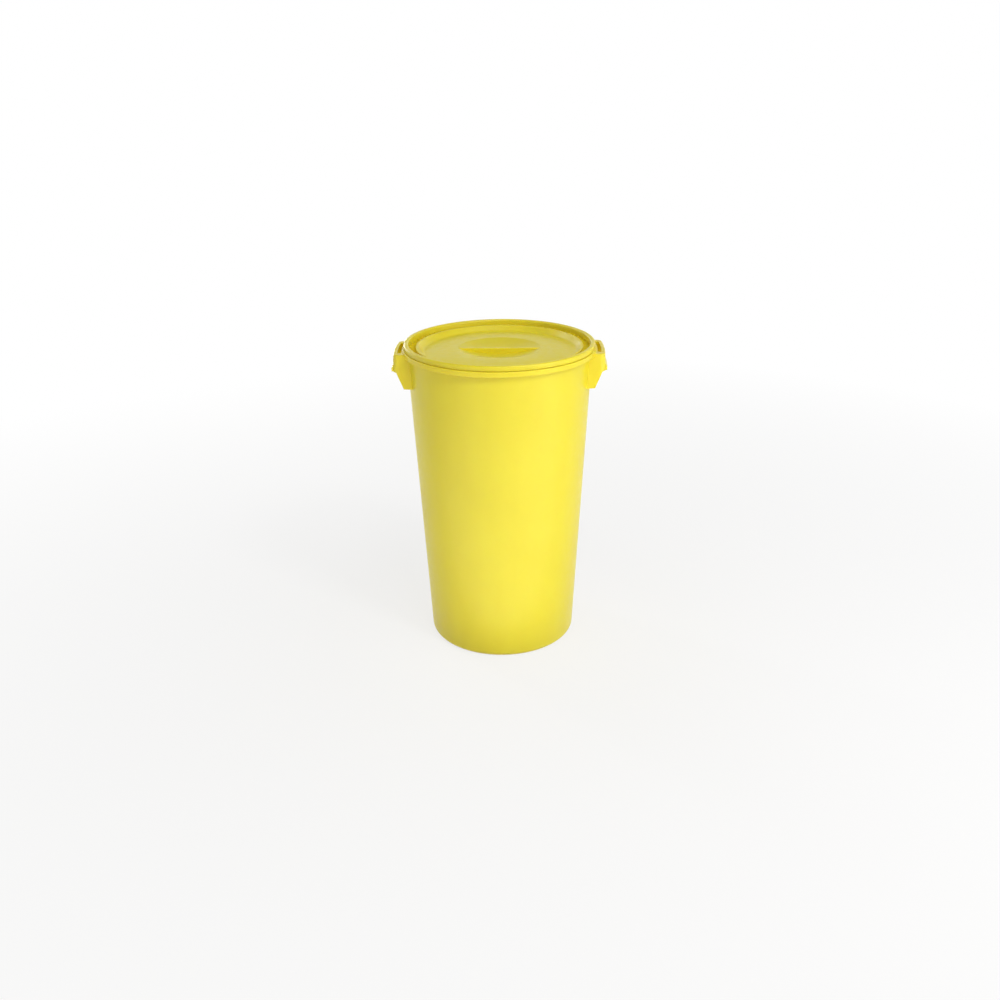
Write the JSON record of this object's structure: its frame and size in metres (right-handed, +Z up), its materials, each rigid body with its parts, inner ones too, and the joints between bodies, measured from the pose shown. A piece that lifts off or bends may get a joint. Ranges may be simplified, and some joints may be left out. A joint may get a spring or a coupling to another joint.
{
  "type": "medical waste bin",
  "caption": "Tall round tapered bin with two moulded side handles and a press-on lid that has a ribbed rim channel and a dished grip.",
  "frame": {"origin": "centre of the foot ring, on the floor plane", "axes": "+Z up along the bin's axis, handles at +X and -X"},
  "size_m": [0.4486, 0.4046, 0.6682],
  "materials": {
    "tub_plastic": "semi-gloss moulded yellow",
    "lid_plastic": "semi-gloss moulded yellow"
  },
  "bodies": {
    "tub": {"tub": "tub_plastic"},
    "lid": {"lid": "lid_plastic"}
  },
  "joints": [
    {"name": "lid_lift", "type": "slide", "parent": "tub", "child": "lid", "axis": [0, 0, 1], "range_m": [0, 0.25]}
  ]
}
